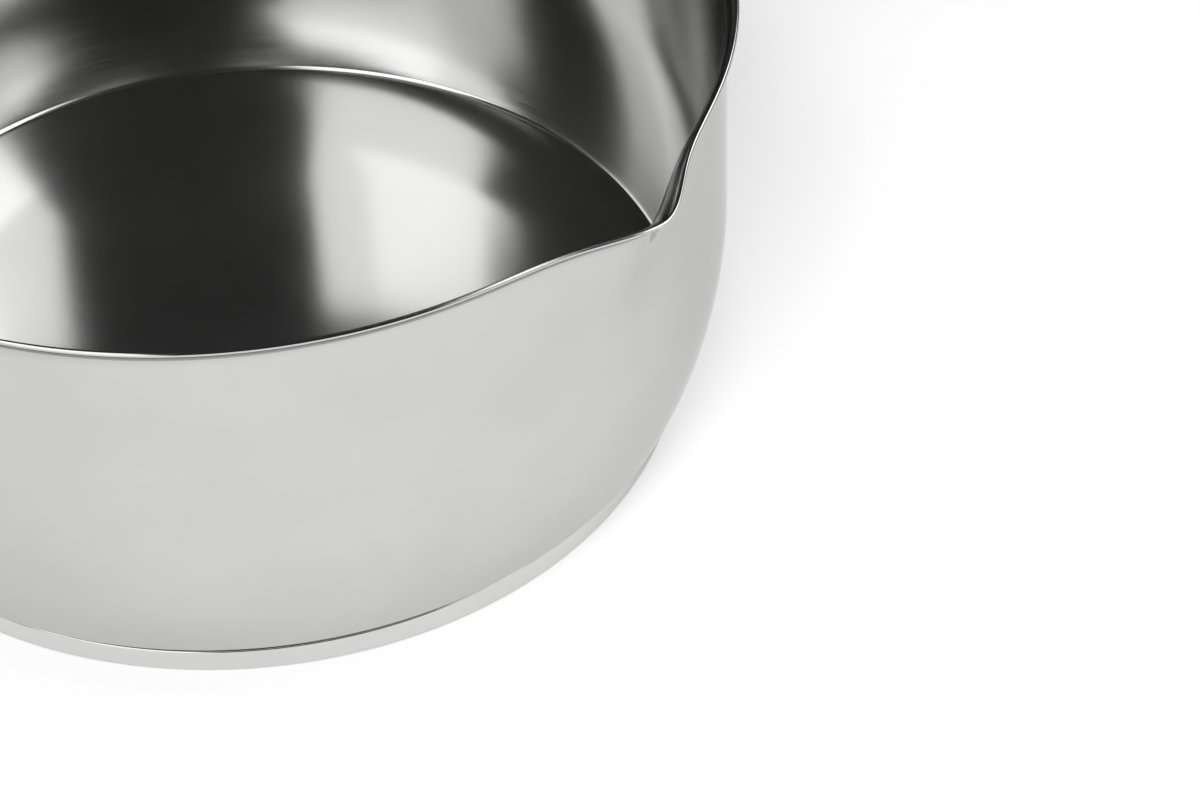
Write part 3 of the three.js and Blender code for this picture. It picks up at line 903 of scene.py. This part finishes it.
# %% Steel of the bowl and its base
# Buffed to a mirror: an even grey reflection with barely visible clouds
mirror_steel = metal(
    "mirror-polished stainless steel",
    ("#C4C4C3", "#CACAC9"),
    (0.04, 0.09),
    22,
    lambda tree: rings(tree, 0.4),
    0.0004,
)
# Buffed again after pressing, and given a lighter colour than the bowl's steel as painted reflection: it
# stands in for the bright paper that the cap mirrors, so that the step under the groove stands out
cap_steel_painted_lighter = metal(
    "stainless cap with painted reflection",
    ("#D2D2D1", "#D7D7D6"),
    (0.06, 0.12),
    16,
    lambda tree: rings(tree, 0.4),
    0.0006,
)
# Spun satin: reflections with soft borders and fine rings
satin_steel = metal(
    "spun satin stainless steel",
    ("#D2D2D1", "#D6D6D5"),
    (0.12, 0.17),
    30,
    lambda tree: rings(tree, 0.3),
    0.0008,
)
# Turned on a lathe: rings coarse enough to see, which spread a lamp into a bright fan
turned_steel = metal(
    "lathe-turned stainless steel",
    ("#C4C4C3", "#CDCDCC"),
    (0.20, 0.30),
    18,
    lambda tree: rings(tree, 0.5),
    0.006,
)

for finish in (mirror_steel, satin_steel):
    bowl.data.materials.append(finish)
inside_rows = np.arange(len(bowl_line) - 1) >= len(outer_line) + len(edge_line) // 2
inside_fans = np.repeat([False, True], bowl_columns)
inside_faces = np.concatenate([np.repeat(inside_rows, bowl_columns), inside_fans])
bowl.data.polygons.foreach_set("material_index", inside_faces.astype(np.int32))

for finish in (cap_steel_painted_lighter, turned_steel):
    cap.data.materials.append(finish)
under_rows = np.arange(len(cap_line) - 1) < len(under) + 2
under_fans = np.repeat([True, False], cap_columns)
under_faces = np.concatenate([np.repeat(under_rows, cap_columns), under_fans])
cap.data.polygons.foreach_set("material_index", under_faces.astype(np.int32))
print("satin faces:", int(inside_faces.sum()), "turned faces:", int(under_faces.sum()))

# %% Metal of the handle's fittings and of the core
# Belt-brushed: strokes along the plate draw a lamp out into a streak
brushed_plate = metal(
    "belt-brushed stainless plate",
    ("#BFBFBE", "#C8C8C7"),
    (0.22, 0.34),
    12,
    lambda tree: strokes(tree, 0.25, 0, (1, 0.02, 1)),
    0.003,
)
# Buffed round the sleeve: a mirror with a faint hint of lines across the handle
buffed_sleeve = metal(
    "buffed stainless sleeve",
    ("#C8C8C7", "#CFCFCE"),
    (0.06, 0.13),
    10,
    lambda tree: strokes(tree, 0.3, handle_tilt, (1, 0.03, 0.03)),
    0.0008,
)
# Zinc-plated: a slightly bluish, cloudy grey with small crystals
zinc_plated = metal(
    "zinc-plated steel",
    ("#B4B6B8", "#C0C2C3"),
    (0.26, 0.42),
    1.5,
    lambda tree: strokes(tree, 0.35, 0, (1, 1, 1)),
    0.004,
)
# Rolled: long straight lines from the mill and a bright, whiter grey
rolled_aluminium = metal(
    "rolled aluminium blank",
    ("#D2D3D5", "#DADBDC"),
    (0.25, 0.38),
    25,
    lambda tree: strokes(tree, 0.3, 0, (0.01, 1, 1)),
    0.003,
)

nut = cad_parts["bracket_nut"]
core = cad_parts["heat_spreader_disc"]
for holder in (nut, core):
    holder.data.materials.clear()
for piece, finish in (
    (bracket, brushed_plate),
    (guard, buffed_sleeve),
    (washer, zinc_plated),
    (screw, zinc_plated),
    (nut, zinc_plated),
    (core, rolled_aluminium),
):
    piece.data.materials.append(finish)
    print(piece.name, "has", finish.name)

# %% [markdown]
# ## Moulded black
# Phenolic is pressed hot between two halves of a steel mould. The mould is lightly blasted, so the grip
# comes out with an even, fine grain and half a gloss, and a thin seam runs along its widest line, where
# the halves meet. The seam needs the handle's own height, which a Mapping node gives by turning the
# object's coordinates.

# %% Moulded phenolic
grain_size, grain_height, flow_size = 0.45, 0.012, 14.0
grip_smooth, grip_dull = 0.34, 0.46
seam_half_width, seam_height = 0.18, 0.05

phenolic = empty_material("moulded black phenolic")
tree = phenolic.node_tree
place = add(tree, "ShaderNodeTexCoord").outputs["Object"]
foot_place = Vector(handle_foot * MM)
from_foot = add(tree, "ShaderNodeVectorMath", {0: place, 1: foot_place}, operation="SUBTRACT")
level = add(tree, "ShaderNodeMapping", {"Vector": from_foot.outputs[0], "Rotation": (0, handle_tilt, 0)})
height = add(tree, "ShaderNodeSeparateXYZ", {0: level.outputs[0]}).outputs[2]
off_seam = add(tree, "ShaderNodeMath", {0: height}, operation="ABSOLUTE").outputs[0]
seam = add(
    tree,
    "ShaderNodeMapRange",
    {"Value": off_seam, "From Min": 0.0, "From Max": seam_half_width * MM, "To Min": 1.0, "To Max": 0.0},
    interpolation_type="SMOOTHSTEP",
)
grain_inputs = {"Vector": place, "Scale": 1 / (grain_size * MM), "Detail": 2.0, "Roughness": 0.5}
grain = add(tree, "ShaderNodeTexNoise", grain_inputs).outputs["Fac"]
flow_inputs = {"Vector": place, "Scale": 1 / (flow_size * MM), "Detail": 3.0, "Distortion": 0.8}
flow = add(tree, "ShaderNodeTexNoise", flow_inputs).outputs["Fac"]
shade = add(
    tree,
    "ShaderNodeMix",
    {"Factor": flow, "A": linear("#191818"), "B": linear("#211F1F")},
    data_type="RGBA",
)
gloss_limits = {"From Min": noise_low, "From Max": noise_high, "To Min": grip_smooth, "To Max": grip_dull}
gloss = add(tree, "ShaderNodeMapRange", {"Value": flow, **gloss_limits})
grain_bump = add(tree, "ShaderNodeBump", {"Height": grain, "Strength": 1.0, "Distance": grain_height * MM})
seam_bump = add(
    tree,
    "ShaderNodeBump",
    {
        "Height": seam.outputs["Result"],
        "Strength": 1.0,
        "Distance": seam_height * MM,
        "Normal": grain_bump.outputs["Normal"],
    },
)
shader = add(
    tree,
    "ShaderNodeBsdfPrincipled",
    {
        "Base Color": shade.outputs["Result"],
        "Roughness": gloss.outputs["Result"],
        "Normal": seam_bump.outputs["Normal"],
    },
)
add(tree, "ShaderNodeOutputMaterial", {"Surface": shader.outputs[0]})
grip.data.materials.append(phenolic)
print("grip has", phenolic.name)
